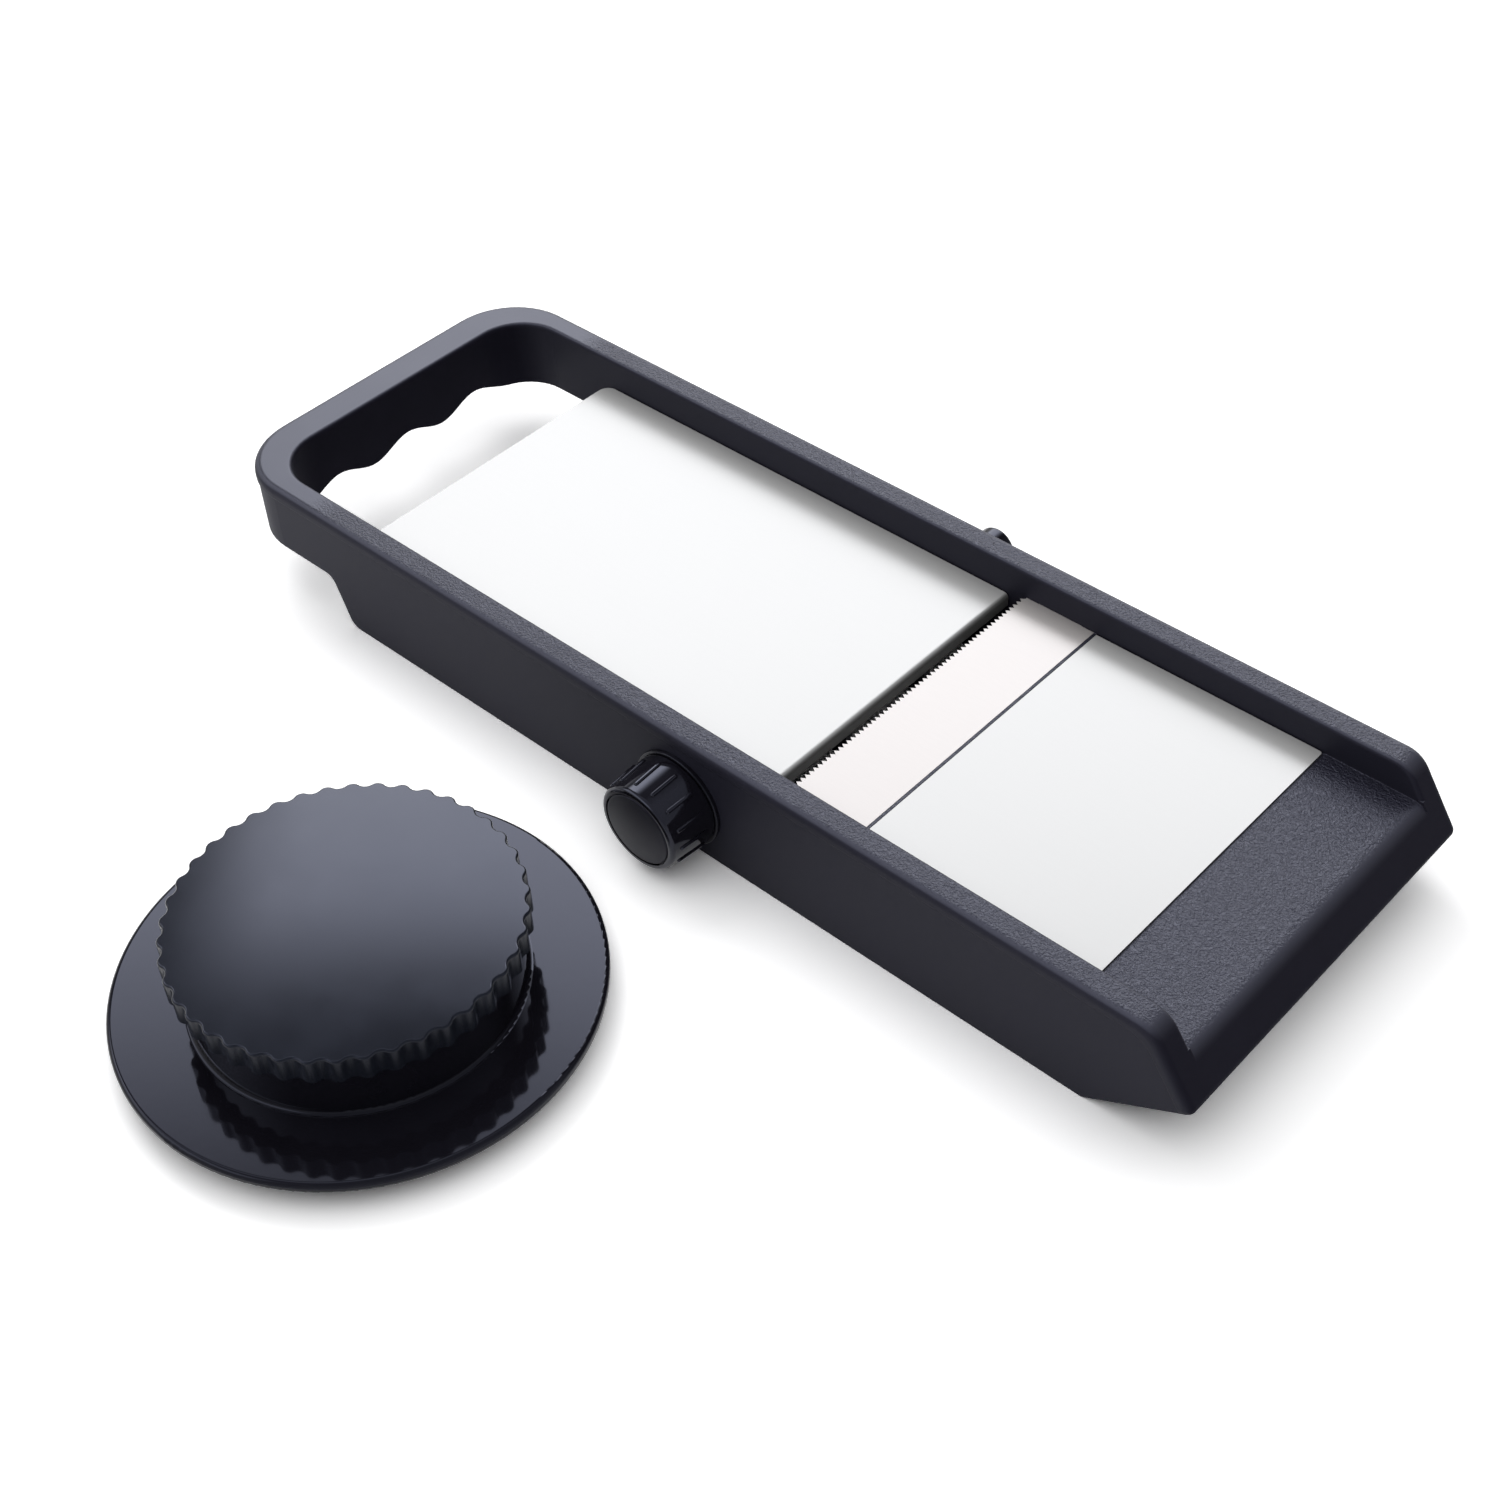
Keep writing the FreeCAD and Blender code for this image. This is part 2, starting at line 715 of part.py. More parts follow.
def make_end_cap():
    # Blind cap on the shaft's far end
    bore_end = cap_end - skin
    corners = [(journal_radius, cap_back, 0), (cap_radius, cap_back, 0), (cap_radius, cap_end, cap_round),
               (0, cap_end, 0), (0, bore_end, 0), (journal_radius, bore_end, 0)]
    return turned(corners, Vector(shaft_x, 0, shaft_z), Vector(0, 1, 0))


def make_spring_washer():
    disc = cross_rod(washer_radius, shaft_x, shaft_z, washer_back, cap_back)
    return disc.cut(cross_rod(journal_radius + running_gap, shaft_x, shaft_z, 0, cap_end))


# Hand guard

def guard_turned(corners):
    return turned(corners, Vector(guard_x, guard_y, 0), Vector(0, 0, 1))


def guard_ring(radius, count):
    for i in range(count):
        angle = 2 * math.pi * i / count
        yield guard_x + radius * math.cos(angle), guard_y + radius * math.sin(angle)


def make_guard_body():
    # Flat flange with a beaded rim, a hollow neck and a spigot that the cap sits on
    bottom = flange_height - flange_thickness
    bead_bottom = flange_height - rim_bead
    bead_inner = flange_radius - rim_bead
    corners = [(neck_bore, bottom, 0), (bead_inner, bottom, 0), (bead_inner, bead_bottom, 0),
               (flange_radius, bead_bottom, rim_round), (flange_radius, flange_height, rim_round),
               (neck_radius, flange_height, neck_fillet), (neck_radius, cap_base, 0),
               (spigot_radius, cap_base, 0), (spigot_radius, cap_base + spigot_height, 0),
               (neck_bore, cap_base + spigot_height, 0)]
    return guard_turned(corners)


def flute_wire(z):
    # Wavy edge of the cap, a lobe and a hollow for each flute, each of them one arc
    points = []
    count = 4 * guard_flutes
    for i in range(count):
        angle = 2 * math.pi * i / count
        radius = guard_cap_radius - guard_flute_depth * (0.5 - 0.5 * math.cos(guard_flutes * angle))
        points.append(Vector(guard_x + radius * math.cos(angle), guard_y + radius * math.sin(angle), z))
    arcs = [Part.Arc(points[i], points[(i + 1) % count], points[(i + 2) % count]).toShape()
            for i in range(1, count, 2)]
    return Part.Wire(arcs)


def make_guard_cap():
    top = cap_base + guard_cap_height
    fluted = Part.Face(flute_wire(cap_base)).extrude(Vector(0, 0, guard_cap_height))
    rim = [edge for edge in fluted.Edges if edge.BoundBox.ZMin > top - tiny]
    inside = guard_turned([(0, cap_base - past, 0), (spigot_radius + guard_fit, cap_base - past, 0),
                           (spigot_radius + guard_fit, top - guard_cap_top, 0), (0, top - guard_cap_top, 0)])
    cap = fluted.makeFillet(guard_cap_round, rim).cut(inside)
    plate_face = flange_height - flange_thickness + prong_plate_thickness
    posts = []
    holes = []
    for x, y in guard_ring(post_circle, post_count):
        posts.append(rod(post_radius, Vector(x, y, plate_face), Vector(x, y, top - guard_cap_top)))
        hole_top = plate_face + guard_screw_bite
        holes.append(rod(guard_screw_radius, Vector(x, y, plate_face - past), Vector(x, y, hole_top)))
    return cap.fuse(posts).cut(holes).removeSplitter()


def prong_places():
    outer = guard_ring(prong_outer_circle, prong_outer_count)
    return list(outer) + list(guard_ring(prong_inner_circle, prong_inner_count))


def make_prong_plate():
    bottom = flange_height - flange_thickness
    top = bottom + prong_plate_thickness
    centre = Vector(guard_x, guard_y, 0)
    up = Vector(0, 0, 1)
    plate = rod(neck_bore - guard_fit, centre + up * bottom, centre + up * top)
    holes = [rod(guard_screw_radius + running_gap, Vector(x, y, bottom - past), Vector(x, y, top + past))
             for x, y in guard_ring(post_circle, post_count)]
    holes += [rod(prong_radius, Vector(x, y, bottom - past), Vector(x, y, bottom + prong_sink))
              for x, y in prong_places()]
    return plate.cut(holes)


def make_guard_prongs():
    # Steel pins with tapered points; the guard stands on them
    bottom = flange_height - flange_thickness
    prongs = []
    for x, y in prong_places():
        point = Part.makeCone(prong_tip_radius, prong_radius, prong_taper, Vector(x, y, 0))
        stem = rod(prong_radius, Vector(x, y, prong_taper), Vector(x, y, bottom + prong_sink))
        prongs.append(point.fuse(stem).removeSplitter())
    return Part.makeCompound(prongs)


def make_guard_screws():
    seat = flange_height - flange_thickness
    tip = seat + prong_plate_thickness + guard_screw_bite
    screws = []
    for x, y in guard_ring(post_circle, post_count):
        head = rod(guard_screw_head, Vector(x, y, seat - guard_screw_head_height), Vector(x, y, seat))
        shank = rod(guard_screw_radius, Vector(x, y, seat), Vector(x, y, tip))
        screws.append(head.fuse(shank).removeSplitter())
    return Part.makeCompound(screws)


# Every piece, one file each

near_bush = make_bush()

pieces = {
    "frame": make_frame(),
    "landing_plate": make_landing_plate(),
    "blade": make_blade(),
    "blade_clamps": make_blade_clamps(),
    "blade_screws": make_blade_screws(),
    "near_bush": near_bush,
    "far_bush": mirrored(near_bush),
    "feed_plate": make_feed_plate(),
    "feed_carrier": make_feed_carrier(),
    "hinge_pins": make_hinge_pins(),
    "crank_shaft": make_crank_shaft(),
    "thickness_knob": make_knob(),
    "knob_cover": make_knob_cover(),
    "knob_screw": make_knob_screw(),
    "end_cap": make_end_cap(),
    "spring_washer": make_spring_washer(),
    "guard_body": make_guard_body(),
    "guard_cap": make_guard_cap(),
    "prong_plate": make_prong_plate(),
    "guard_prongs": make_guard_prongs(),
    "guard_screws": make_guard_screws(),
}

os.makedirs("parts", exist_ok=True)
for name, shape in pieces.items():
    shape.exportStep("parts/" + name + ".step")
    print(name, len(shape.Solids), shape.isValid(), round(shape.Volume, 1))
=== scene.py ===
import math
import bmesh
import bpy
from mathutils import Matrix, Vector


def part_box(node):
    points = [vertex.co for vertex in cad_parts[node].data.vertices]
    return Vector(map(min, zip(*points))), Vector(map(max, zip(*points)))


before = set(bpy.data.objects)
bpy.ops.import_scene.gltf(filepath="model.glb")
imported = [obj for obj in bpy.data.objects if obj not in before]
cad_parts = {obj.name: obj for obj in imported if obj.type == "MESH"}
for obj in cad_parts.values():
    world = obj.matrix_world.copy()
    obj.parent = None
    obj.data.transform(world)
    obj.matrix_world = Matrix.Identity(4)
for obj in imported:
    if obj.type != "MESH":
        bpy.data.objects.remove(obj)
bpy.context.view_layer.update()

mm = 0.001
noiseSpread = (0.3, 0.7)  # most of a noise pattern's values lie in here
print("slicer frame loaded with", len(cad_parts), "nodes")


def hexColour(code):
    channels = [int(code[i:i + 2], 16) / 255 for i in (1, 3, 5)]
    linear = [c / 12.92 if c <= 0.04045 else ((c + 0.055) / 1.055) ** 2.4 for c in channels]
    return (*linear, 1.0)


def addNode(tree, kind, settings=None, links=None):
    node = tree.nodes.new(kind)
    for name, value in (settings or {}).items():
        if isinstance(name, int) or name in node.inputs:
            node.inputs[name].default_value = value
        else:
            setattr(node, name, value)
    for socket, source in (links or {}).items():
        tree.links.new(source, node.inputs[socket])
    return node


def connect(tree, shader, sources):
    for socket, source in sources.items():
        tree.links.new(source, shader.inputs[socket])


def newMaterial(name, settings):
    material = bpy.data.materials.new(name)
    material.use_nodes = True
    tree = material.node_tree
    tree.nodes.clear()
    shader = addNode(tree, "ShaderNodeBsdfPrincipled", settings)
    addNode(tree, "ShaderNodeOutputMaterial", links={"Surface": shader.outputs["BSDF"]})
    place = addNode(tree, "ShaderNodeTexCoord")
    return material, tree, shader, place


# Runs from start to end as a face turns towards an axis, between the two facing values
def facingShare(tree, axis, facing, start=0.0, end=1.0):
    surface = addNode(tree, "ShaderNodeNewGeometry")
    parts = addNode(tree, "ShaderNodeSeparateXYZ", links={"Vector": surface.outputs["Normal"]})
    share = addNode(tree, "ShaderNodeMapRange",
                    {"From Min": facing[0], "From Max": facing[1], "To Min": start, "To Max": end},
                    {"Value": parts.outputs[axis]})
    return share.outputs["Result"]


# Frame: black ABS moulded in a tool with a leather grain on the tops and a fine satin on the walls.
# The grain breaks the light on the rail tops and the deck into small ripples, the walls stay even,
# and every sharp edge is worn just enough to catch a thin line of light.
# Real satin is finer than the render can show, so it is drawn 0.3 mm coarse. Sizes are in millimetres.
framePlastic = {
    "dark": "#16151e", "pale": "#1d1c26", "mottle": 14.0, "ior": 1.5, "tint": "#e6eaff", "edge": 0.45,
    "topRoughness": 0.30, "wallRoughness": 0.56, "roughnessSwing": 0.06, "topFacing": (0.90, 0.99),
    "topSpecular": 0.95, "wallSpecular": 0.18, "shineFacing": (0.60, 0.95),
    "noseShare": 0.22, "noseFacing": (0.30, 0.80),
    "grainSize": 0.72, "grainHeight": 0.42, "grainWander": 0.4, "grainStart": -122.0, "grainFade": 12.0,
    "satinSize": 0.30, "satinHeight": 0.006,
}


def makeFramePlastic(name, values):
    material, tree, shader, place = newMaterial(
        name, {"IOR": values["ior"], "Specular Tint": hexColour(values["tint"])})
    where = place.outputs["Object"]
    mottle = addNode(tree, "ShaderNodeTexNoise", {"Scale": 1 / (values["mottle"] * mm), "Detail": 3.0},
                     {"Vector": where})
    tone = addNode(tree, "ShaderNodeMix",
                   {"data_type": "RGBA", 6: hexColour(values["dark"]), 7: hexColour(values["pale"])},
                   {"Factor": mottle.outputs["Fac"]})
    upward = facingShare(tree, "Z", values["topFacing"])
    smooth = addNode(tree, "ShaderNodeMapRange",
                     {"To Min": values["wallRoughness"], "To Max": values["topRoughness"]},
                     {"Value": upward})
    rough = addNode(tree, "ShaderNodeMath", {"operation": "MULTIPLY_ADD", 1: values["roughnessSwing"]},
                    {0: mottle.outputs["Fac"], 2: smooth.outputs["Result"]})
    # Tops are the glossiest, walls duller, and faces that look along the slicer to the foot are left matt
    topShine = facingShare(tree, "Z", values["shineFacing"], values["wallSpecular"], values["topSpecular"])
    noseShine = facingShare(tree, "X", values["noseFacing"], 1.0, values["noseShare"])
    shine = addNode(tree, "ShaderNodeMath", {"operation": "MULTIPLY"}, {0: topShine, 1: noseShine})
    # Leather grain: ripples about 0.7 mm apart, only on faces that look up, past the smooth handle
    grain = values["grainSize"] * mm
    warp = addNode(tree, "ShaderNodeTexNoise", {"Scale": values["grainWander"] / grain, "Detail": 1.0},
                   {"Vector": where})
    push = addNode(tree, "ShaderNodeVectorMath", {"operation": "MULTIPLY_ADD", 1: (grain,) * 3},
                   {0: warp.outputs["Color"], 2: where})
    ripple = addNode(tree, "ShaderNodeTexNoise", {"Scale": 1 / grain, "Detail": 2.0, "Roughness": 0.6},
                     {"Vector": push.outputs["Vector"]})
    along = addNode(tree, "ShaderNodeSeparateXYZ", links={"Vector": where})
    pastHandle = addNode(tree, "ShaderNodeMapRange",
                         {"From Min": (values["grainStart"] - values["grainFade"]) * mm,
                          "From Max": values["grainStart"] * mm},
                         {"Value": along.outputs["X"]})
    mask = addNode(tree, "ShaderNodeMath", {"operation": "MULTIPLY"},
                   {0: upward, 1: pastHandle.outputs["Result"]})
    worn = addNode(tree, "ShaderNodeBevel", {"samples": 4, "Radius": values["edge"] * mm})
    satin = addNode(tree, "ShaderNodeTexNoise", {"Scale": 1 / (values["satinSize"] * mm), "Detail": 2.0},
                    {"Vector": where})
    satinBump = addNode(tree, "ShaderNodeBump", {"Strength": 1.0, "Distance": values["satinHeight"] * mm},
                        {"Height": satin.outputs["Fac"], "Normal": worn.outputs["Normal"]})
    grainBump = addNode(tree, "ShaderNodeBump", {"Distance": values["grainHeight"] * mm},
                        {"Strength": mask.outputs["Value"], "Height": ripple.outputs["Fac"],
                         "Normal": satinBump.outputs["Normal"]})
    connect(tree, shader, {"Base Color": tone.outputs[2], "Roughness": rough.outputs["Value"],
                           "Specular IOR Level": shine.outputs["Value"],
                           "Normal": grainBump.outputs["Normal"]})
    return material


# Guard's flange, bushes and end cap: black ABS from a polished tool.
# It mirrors the studio, with a faint orange peel that bends the edges of the reflections.
glossPlastic = {
    "dark": "#111016", "pale": "#16151b", "cloud": 9.0, "ior": 1.64, "tint": "#dfe5ff", "sideSpecular": 0.10,
    "roughness": 0.07, "roughnessSwing": 0.03, "peelSize": 3.0, "peelHeight": 0.002,
}
# Knob: the same, with brighter sides, so that each rib catches a thin line of light of its own
knobPlastic = {
    "dark": "#111016", "pale": "#16151b", "cloud": 6.0, "ior": 1.64, "tint": "#dfe5ff", "sideSpecular": 0.22,
    "roughness": 0.08, "roughnessSwing": 0.02, "peelSize": 3.0, "peelHeight": 0.002,
}
# Guard's cap: satin ABS, which spreads the soft box into one broad gradient over the top
satinPlastic = {
    "dark": "#101218", "pale": "#161921", "cloud": 12.0, "ior": 1.66, "tint": "#dfe5ff", "sideSpecular": 0.12,
    "roughness": 0.20, "roughnessSwing": 0.02, "peelSize": 0.35, "peelHeight": 0.004,
    "crownNode": "guard_cap", "crownRadius": 480.0,
}
# Knob's disc: fine matt ABS, which stays dark inside the shining rim
discPlastic = {
    "dark": "#13121a", "pale": "#181720", "cloud": 7.0, "ior": 1.5, "tint": "#e6eaff", "sideSpecular": 0.16,
    "roughness": 0.46, "roughnessSwing": 0.04, "peelSize": 0.30, "peelHeight": 0.006,
}
# Carrier, clamps and prong plate: nylon as it leaves the tool, dull and a little uneven
plainPlastic = {
    "dark": "#121214", "pale": "#1a1a1d", "cloud": 8.0, "ior": 1.5, "tint": "#e6eaff", "sideSpecular": 0.35,
    "roughness": 0.52, "roughnessSwing": 0.06, "peelSize": 0.25, "peelHeight": 0.010,
}
levelTops = {"facing": (0.93, 0.985), "specular": 0.5}  # level faces of all five shine alike


def makeBlackPlastic(name, values):
    material, tree, shader, place = newMaterial(
        name, {"IOR": values["ior"], "Specular Tint": hexColour(values["tint"])})
    where = place.outputs["Object"]
    cloud = addNode(tree, "ShaderNodeTexNoise", {"Scale": 1 / (values["cloud"] * mm), "Detail": 3.0},
                    {"Vector": where})
    tone = addNode(tree, "ShaderNodeMix",
                   {"data_type": "RGBA", 6: hexColour(values["dark"]), 7: hexColour(values["pale"])},
                   {"Factor": cloud.outputs["Fac"]})
    rough = addNode(tree, "ShaderNodeMapRange",
                    {"From Min": noiseSpread[0], "From Max": noiseSpread[1],
                     "To Min": values["roughness"] - values["roughnessSwing"],
                     "To Max": values["roughness"] + values["roughnessSwing"]},
                    {"Value": cloud.outputs["Fac"]})
    peel = addNode(tree, "ShaderNodeTexNoise", {"Scale": 1 / (values["peelSize"] * mm), "Detail": 2.0},
                   {"Vector": where})
    bump = addNode(tree, "ShaderNodeBump", {"Strength": 1.0, "Distance": values["peelHeight"] * mm},
                   {"Height": peel.outputs["Fac"]})
    if "crownRadius" in values:
        # The cap's top is a shade higher in the middle, so the light runs from its back edge to its front
        low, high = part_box(values["crownNode"])
        centre = (Vector(low) + Vector(high)) / 2
        offset = addNode(tree, "ShaderNodeVectorMath", {"operation": "SUBTRACT", 1: centre}, {0: where})
        flat = addNode(tree, "ShaderNodeVectorMath", {"operation": "MULTIPLY", 1: (1, 1, 0)},
                       {0: offset.outputs["Vector"]})
        square = addNode(tree, "ShaderNodeVectorMath", {"operation": "DOT_PRODUCT"},
                         {0: flat.outputs["Vector"], 1: flat.outputs["Vector"]})
        sag = addNode(tree, "ShaderNodeMath",
                      {"operation": "MULTIPLY", 1: -0.5 / (values["crownRadius"] * mm)},
                      {0: square.outputs["Value"]})
        bump = addNode(tree, "ShaderNodeBump", {"Strength": 1.0, "Distance": 1.0},
                       {"Height": sag.outputs["Value"], "Normal": bump.outputs["Normal"]})
    shine = facingShare(tree, "Z", levelTops["facing"], values["sideSpecular"], levelTops["specular"])
    connect(tree, shader, {"Base Color": tone.outputs[2], "Roughness": rough.outputs["Result"],
                           "Specular IOR Level": shine, "Normal": bump.outputs["Normal"]})
    return material


# Plates, blade and fasteners: stainless steel, told apart by how each was finished.
# Rolled sheet shows long faint streaks, the blade shorter ones, and the shaft and hinge pins rings.
# The real lines are finer than the render can show, so they are drawn about 0.3 mm apart. Plates and
# blade are part diffuse, which keeps them as pale as bright sheet looks in soft light.
sheetSteel = {
    "dark": "#bfbfbe", "pale": "#c2c2c1", "metal": 0.4, "roughness": 0.31, "roughnessSwing": 0.015,
    # The last two values paint shade on the faces that look to the foot: their colour is scaled down to this
    # share
    "stroke": (30.0, 0.35, 0.35), "strokeHeight": 0.0001, "lipShadeShare": 0.30, "lipShadeFacing": (0.15, 0.75),
}
bladeSteel = {
    "dark": "#bebab8", "pale": "#c4c0be", "metal": 0.45, "roughness": 0.30, "roughnessSwing": 0.02,
    "stroke": (6.0, 0.30, 0.30), "strokeHeight": 0.0004,
}
turnedSteel = {
    "dark": "#b4b4b6", "pale": "#d2d2d3", "metal": 1.0, "roughness": 0.26, "roughnessSwing": 0.08,
    "stroke": (3.0, 0.30, 3.0), "strokeHeight": 0.0020,
}


def makeSteel(name, values):
    material, tree, shader, place = newMaterial(name, {"Metallic": values["metal"]})
    stretch = addNode(tree, "ShaderNodeMapping", {"Scale": [1 / (size * mm) for size in values["stroke"]]},
                      {"Vector": place.outputs["Object"]})
    streak = addNode(tree, "ShaderNodeTexNoise", {"Scale": 1.0, "Detail": 3.0, "Roughness": 0.6},
                     {"Vector": stretch.outputs["Vector"]})
    tone = addNode(tree, "ShaderNodeMix",
                   {"data_type": "RGBA", 6: hexColour(values["dark"]), 7: hexColour(values["pale"])},
                   {"Factor": streak.outputs["Fac"]})
    colour = tone.outputs[2]
    if "lipShadeShare" in values:
        # Painted shade: faces that look to the foot, the folded lip and the sheared end in the throat, get
        # their colour scaled down so they stand in for the shadow inside the throat
        lip = facingShare(tree, "X", values["lipShadeFacing"], 1.0, values["lipShadeShare"])
        shadedColour = addNode(tree, "ShaderNodeVectorMath", {"operation": "SCALE"}, {0: colour, "Scale": lip})
        colour = shadedColour.outputs["Vector"]
    rough = addNode(tree, "ShaderNodeMapRange",
                    {"From Min": noiseSpread[0], "From Max": noiseSpread[1],
                     "To Min": values["roughness"] - values["roughnessSwing"],
                     "To Max": values["roughness"] + values["roughnessSwing"]},
                    {"Value": streak.outputs["Fac"]})
    bump = addNode(tree, "ShaderNodeBump", {"Strength": 1.0, "Distance": values["strokeHeight"] * mm},
                   {"Height": streak.outputs["Fac"]})
    connect(tree, shader, {"Base Color": colour, "Roughness": rough.outputs["Result"],
                           "Normal": bump.outputs["Normal"]})
    return material


finishes = {
    "frame": makeFramePlastic("ABS_moulded_leather_grain", framePlastic),
    "gloss": makeBlackPlastic("ABS_moulded_polished", glossPlastic),
    "knob": makeBlackPlastic("ABS_moulded_bright_gloss", knobPlastic),
    "satin": makeBlackPlastic("ABS_moulded_satin", satinPlastic),
    "disc": makeBlackPlastic("ABS_moulded_fine_matt", discPlastic),
    "plain": makeBlackPlastic("Nylon_moulded_plain", plainPlastic),
    "sheet": makeSteel("Stainless_sheet_bright_rolled", sheetSteel),
    "blade": makeSteel("Stainless_strip_ground", bladeSteel),
    "turned": makeSteel("Stainless_turned", turnedSteel),
}
nodeFinish = {
    "frame": "frame", "landing_plate": "sheet", "feed_plate": "sheet", "blade": "blade",
    "blade_clamps": "plain", "blade_screws": "turned", "near_bush": "gloss", "far_bush": "gloss",
    "feed_carrier": "plain", "hinge_pins": "turned", "crank_shaft": "turned",
    "thickness_knob": "knob", "knob_cover": "disc", "knob_screw": "turned", "end_cap": "gloss",
    "spring_washer": "turned", "guard_body": "gloss", "guard_cap": "satin", "prong_plate": "plain",
    "guard_prongs": "turned", "guard_screws": "turned",
}
for nodeName, finishName in nodeFinish.items():
    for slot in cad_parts[nodeName].material_slots:
        slot.material = finishes[finishName]
print("materials on", len(nodeFinish), "nodes")


# Room: one soft box behind the slicer, one on the left as the camera sees it, and white paper round the
# horizon. They show in what is glossy. Angles are in degrees, half sizes and fades are sines.
backBox = {
    "azimuth": 123.5, "height": 36.5, "halfAcross": 0.40, "halfUp": 0.155, "sideFade": 0.08, "topFade": 0.24,
    "light": 3.0, "colour": "#fafbff",
}
leftBox = {
    "azimuth": 232.0, "height": 34.0, "halfAcross": 0.5, "halfUp": 0.16, "sideFade": 0.2, "topFade": 0.2,
    "light": 3.0, "colour": "#f4f5fa",
}
room = {
    "sky": "#d6d8de", "skyLight": 1.0, "skyDim": 0.13, "dimFrom": 0.12, "dimTo": 0.40,
    "paper": "#ffffff", "paperTop": 15.0, "paperFade": 10.0,
}


def towards(azimuth, height):
    a, h = math.radians(azimuth), math.radians(height)
    return Vector((math.cos(a) * math.cos(h), math.sin(a) * math.cos(h), math.sin(h)))


def softBox(tree, direction, values):
    centre = towards(values["azimuth"], values["height"])
    across = towards(values["azimuth"] + 90, 0)
    upward = centre.cross(across)
    shares = []
    for axis, half, fade in ((across, values["halfAcross"], values["sideFade"]),
                             (upward, values["halfUp"], values["topFade"])):
        offset = addNode(tree, "ShaderNodeVectorMath", {"operation": "DOT_PRODUCT", 1: axis}, {0: direction})
        size = addNode(tree, "ShaderNodeMath", {"operation": "ABSOLUTE"}, {0: offset.outputs["Value"]})
        edge = addNode(tree, "ShaderNodeMapRange",
                       {"interpolation_type": "SMOOTHSTEP", "From Min": half, "From Max": half + fade,
                        "To Min": 1.0, "To Max": 0.0},
                       {"Value": size.outputs["Value"]})
        shares.append(edge.outputs["Result"])
    ahead = addNode(tree, "ShaderNodeVectorMath", {"operation": "DOT_PRODUCT", 1: centre}, {0: direction})
    front = addNode(tree, "ShaderNodeMath", {"operation": "GREATER_THAN", 1: 0.0},
                    {0: ahead.outputs["Value"]})
    both = addNode(tree, "ShaderNodeMath", {"operation": "MULTIPLY"}, {0: shares[0], 1: shares[1]})
    inside = addNode(tree, "ShaderNodeMath", {"operation": "MULTIPLY"},
                     {0: both.outputs["Value"], 1: front.outputs["Value"]})
    level = addNode(tree, "ShaderNodeMath", {"operation": "MULTIPLY", 1: values["light"]},
                    {0: inside.outputs["Value"]})
    glow = addNode(tree, "ShaderNodeBackground", {"Color": hexColour(values["colour"])},
                   {"Strength": level.outputs["Value"]})
    return glow.outputs["Background"]


def makeWorld(values):
    world = bpy.data.worlds.new("studio")
    world.use_nodes = True
    bpy.context.scene.world = world
    tree = world.node_tree
    tree.nodes.clear()
    direction = addNode(tree, "ShaderNodeTexCoord").outputs["Generated"]
    boxes = addNode(tree, "ShaderNodeAddShader",
                    links={0: softBox(tree, direction, backBox), 1: softBox(tree, direction, leftBox)})
    # The room is bright, apart from the dark side that the back soft box stands on
    backSide = addNode(tree, "ShaderNodeVectorMath",
                       {"operation": "DOT_PRODUCT", 1: towards(backBox["azimuth"], 0)}, {0: direction})
    skyLevel = addNode(tree, "ShaderNodeMapRange",
                       {"interpolation_type": "SMOOTHSTEP",
                        "From Min": values["dimFrom"], "From Max": values["dimTo"],
                        "To Min": values["skyLight"], "To Max": values["skyDim"]},
                       {"Value": backSide.outputs["Value"]})
    sky = addNode(tree, "ShaderNodeBackground", {"Color": hexColour(values["sky"])},
                  {"Strength": skyLevel.outputs["Result"]})
    lit = addNode(tree, "ShaderNodeAddShader",
                  links={0: boxes.outputs["Shader"], 1: sky.outputs["Background"]})
    rise = addNode(tree, "ShaderNodeSeparateXYZ", links={"Vector": direction})
    paperEnd = values["paperTop"] + values["paperFade"]
    sweep = addNode(tree, "ShaderNodeMapRange",
                    {"interpolation_type": "SMOOTHSTEP", "To Min": 1.0, "To Max": 0.0,
                     "From Min": math.sin(math.radians(values["paperTop"])),
                     "From Max": math.sin(math.radians(paperEnd))},
                    {"Value": rise.outputs["Z"]})
    paper = addNode(tree, "ShaderNodeBackground", {"Color": hexColour(values["paper"]), "Strength": 1.0})
    whole = addNode(tree, "ShaderNodeMixShader",
                    links={"Fac": sweep.outputs["Result"], 1: lit.outputs["Shader"],
                           2: paper.outputs["Background"]})
    addNode(tree, "ShaderNodeOutputWorld", links={"Surface": whole.outputs["Shader"]})
    world.cycles_visibility.diffuse = False  # it shows in gloss, and the lamps light what is matt


# Lamps: a wide one overhead and a small one behind on the left, in metres and watts
overheadLamp = {"size": 4.0, "power": 60.0, "height": 1.5}
backLamp = {"size": 0.9, "power": 9.0, "azimuth": 163.0, "height": 42.0, "distance": 1.6}


def makeLamp(name, values, place):
    data = bpy.data.lights.new(name, "AREA")
    data.size = values["size"]
    data.energy = values["power"]
    lamp = bpy.data.objects.new(name, data)
    lamp.location = place
    lamp.rotation_euler = place.to_track_quat("Z", "Y").to_euler()
    lamp.visible_camera = False
    lamp.visible_glossy = False
    bpy.context.scene.collection.objects.link(lamp)


# Floor: matt white paper in metres, a hair under the slicer so that the two never share a plane
floorPaper = {"colour": "#fafafb", "lift": 0.40, "half": 2.0, "near": 0.55, "far": 1.1, "drop": 0.05 * mm}


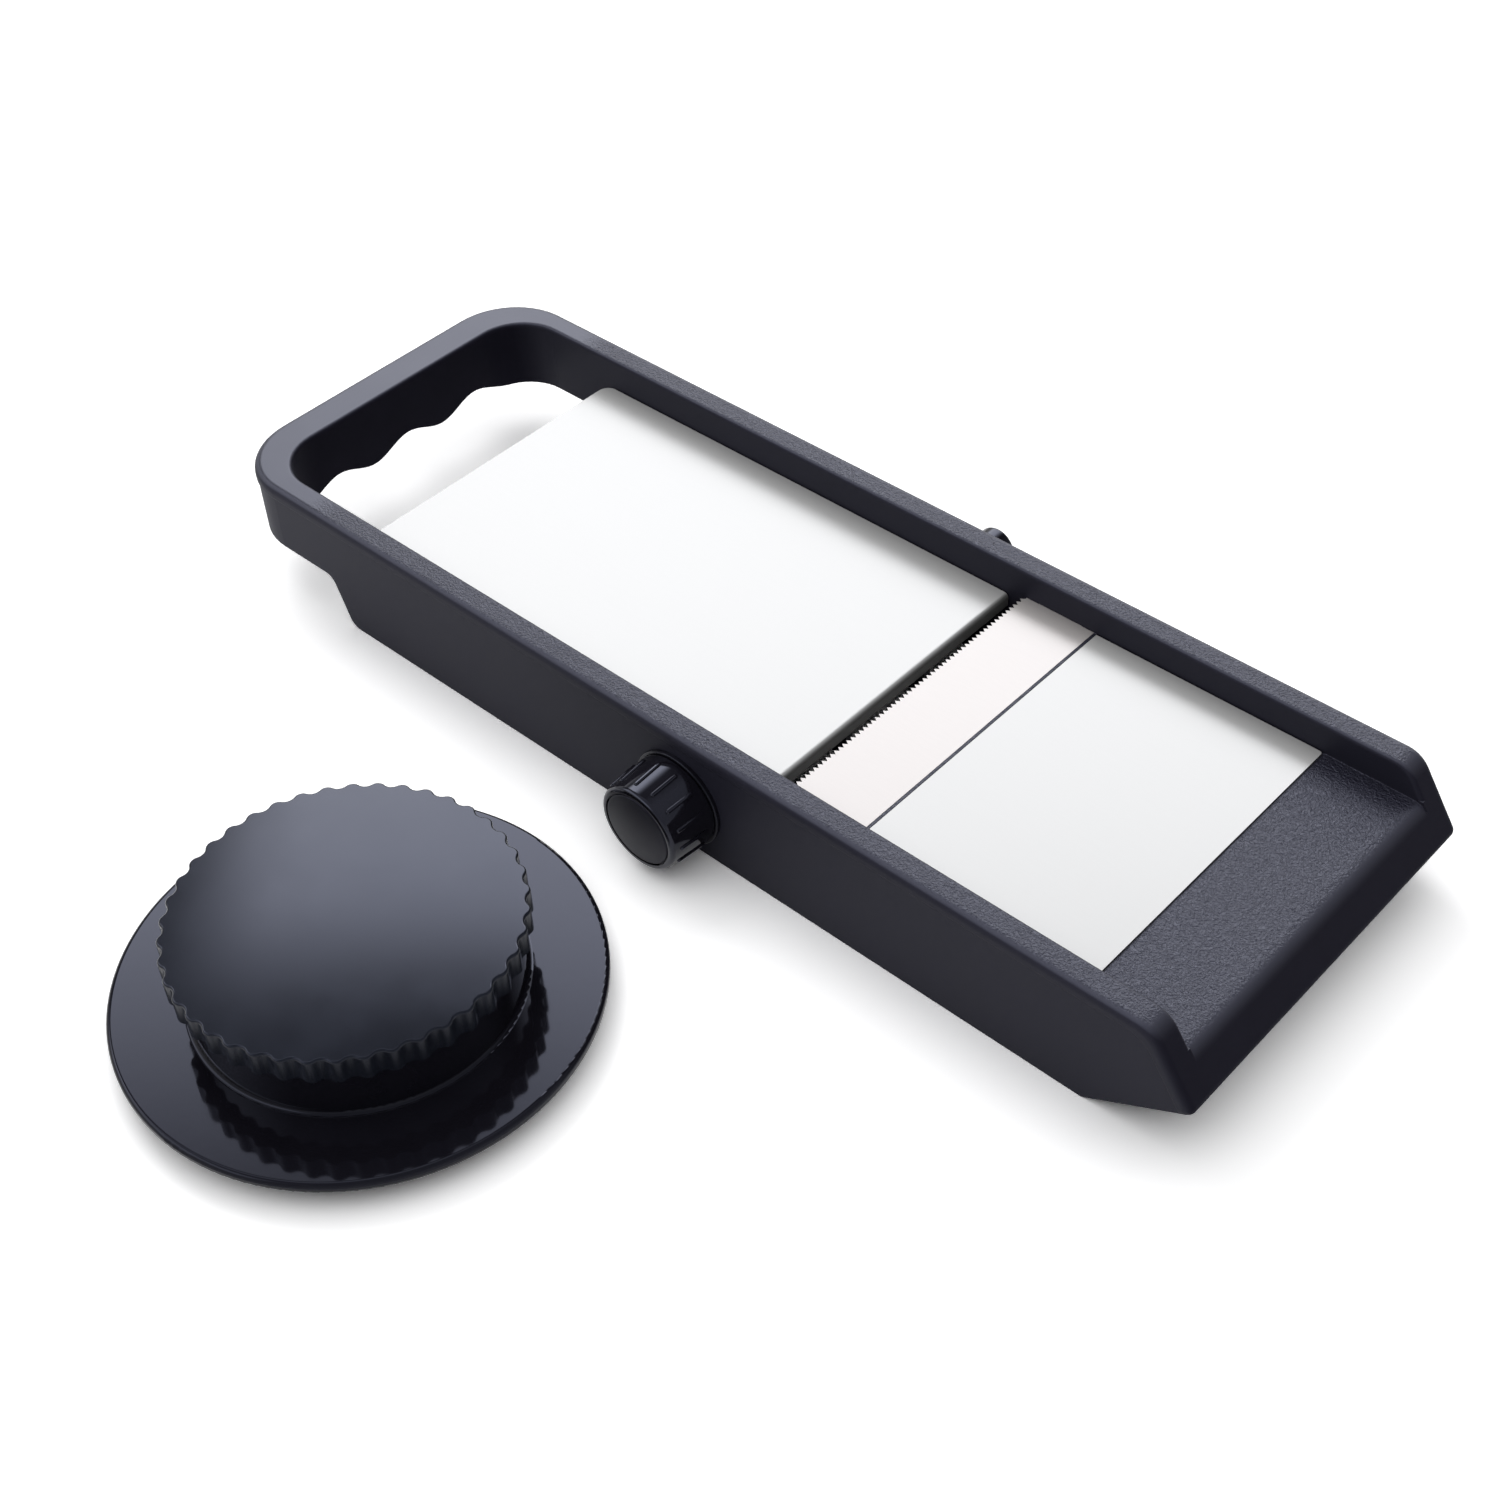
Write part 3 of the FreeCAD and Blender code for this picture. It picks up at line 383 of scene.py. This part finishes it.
def makeFloor(values):
    mesh = bpy.data.meshes.new("floor")
    shape = bmesh.new()
    bmesh.ops.create_grid(shape, x_segments=1, y_segments=1, size=values["half"])
    shape.to_mesh(mesh)
    shape.free()
    floor = bpy.data.objects.new("floor", mesh)
    bpy.context.scene.collection.objects.link(floor)
    floor.location.z = -values["drop"]
    material = bpy.data.materials.new("Paper_white_matt")
    material.use_nodes = True
    tree = material.node_tree
    tree.nodes.clear()
    paper = addNode(tree, "ShaderNodeBsdfDiffuse", {"Color": hexColour(values["colour"])})
    path = addNode(tree, "ShaderNodeLightPath")
    seen = addNode(tree, "ShaderNodeMath", {"operation": "MAXIMUM"},
                   {0: path.outputs["Is Camera Ray"], 1: path.outputs["Is Glossy Ray"]})
    seenAll = addNode(tree, "ShaderNodeMath", {"operation": "MAXIMUM"},
                      {0: seen.outputs["Value"], 1: path.outputs["Is Transmission Ray"]})
    # Seen directly or mirrored, the paper is whiter than the light it gives back, and keeps its shadows
    level = addNode(tree, "ShaderNodeMath", {"operation": "MULTIPLY", 1: values["lift"]},
                    {0: seenAll.outputs["Value"]})
    lift = addNode(tree, "ShaderNodeBsdfDiffuse", links={"Color": level.outputs["Value"]})
    both = addNode(tree, "ShaderNodeAddShader", links={0: paper.outputs["BSDF"], 1: lift.outputs["BSDF"]})
    # Further out it runs on into the white of the horizon
    place = addNode(tree, "ShaderNodeTexCoord")
    away = addNode(tree, "ShaderNodeVectorMath", {"operation": "LENGTH"}, {0: place.outputs["Object"]})
    sweep = addNode(tree, "ShaderNodeMapRange",
                    {"interpolation_type": "SMOOTHSTEP",
                     "From Min": values["near"], "From Max": values["far"]},
                    {"Value": away.outputs["Value"]})
    share = addNode(tree, "ShaderNodeMath", {"operation": "MULTIPLY"},
                    {0: sweep.outputs["Result"], 1: seenAll.outputs["Value"]})
    white = addNode(tree, "ShaderNodeEmission", {"Strength": 1.0})
    whole = addNode(tree, "ShaderNodeMixShader",
                    links={"Fac": share.outputs["Value"], 1: both.outputs["Shader"],
                           2: white.outputs["Emission"]})
    # The paper has one side: from under it the slicer's underside shows
    surface = addNode(tree, "ShaderNodeNewGeometry")
    clear = addNode(tree, "ShaderNodeBsdfTransparent")
    oneSided = addNode(tree, "ShaderNodeMixShader",
                       links={"Fac": surface.outputs["Backfacing"], 1: whole.outputs["Shader"],
                              2: clear.outputs["BSDF"]})
    addNode(tree, "ShaderNodeOutputMaterial", links={"Surface": oneSided.outputs["Shader"]})
    mesh.materials.append(material)


makeWorld(room)
makeLamp("overhead_lamp", overheadLamp, Vector((0, 0, overheadLamp["height"])))
makeLamp("back_lamp", backLamp, towards(backLamp["azimuth"], backLamp["height"]) * backLamp["distance"])
makeFloor(floorPaper)
print("studio light and floor made")


# Camera: over the foot on the knob side, looking back along the slicer
cameraView = {
    "place": (0.30622, -0.33199, 0.42173), "right": (0.73948, 0.67220, -0.03623),
    "up": (-0.44981, 0.53344, 0.71631), "lens": 53.61, "sensor": 36.0,
}


def makeCamera(values):
    data = bpy.data.cameras.new("camera")
    data.lens = values["lens"]
    data.sensor_width = values["sensor"]
    camera = bpy.data.objects.new("camera", data)
    bpy.context.scene.collection.objects.link(camera)
    right, up = Vector(values["right"]), Vector(values["up"])
    turn = Matrix((right, up, right.cross(up))).transposed().to_4x4()
    camera.matrix_world = Matrix.Translation(values["place"]) @ turn
    bpy.context.scene.camera = camera


makeCamera(cameraView)
bpy.context.scene.view_settings.view_transform = "Standard"
print("camera placed")
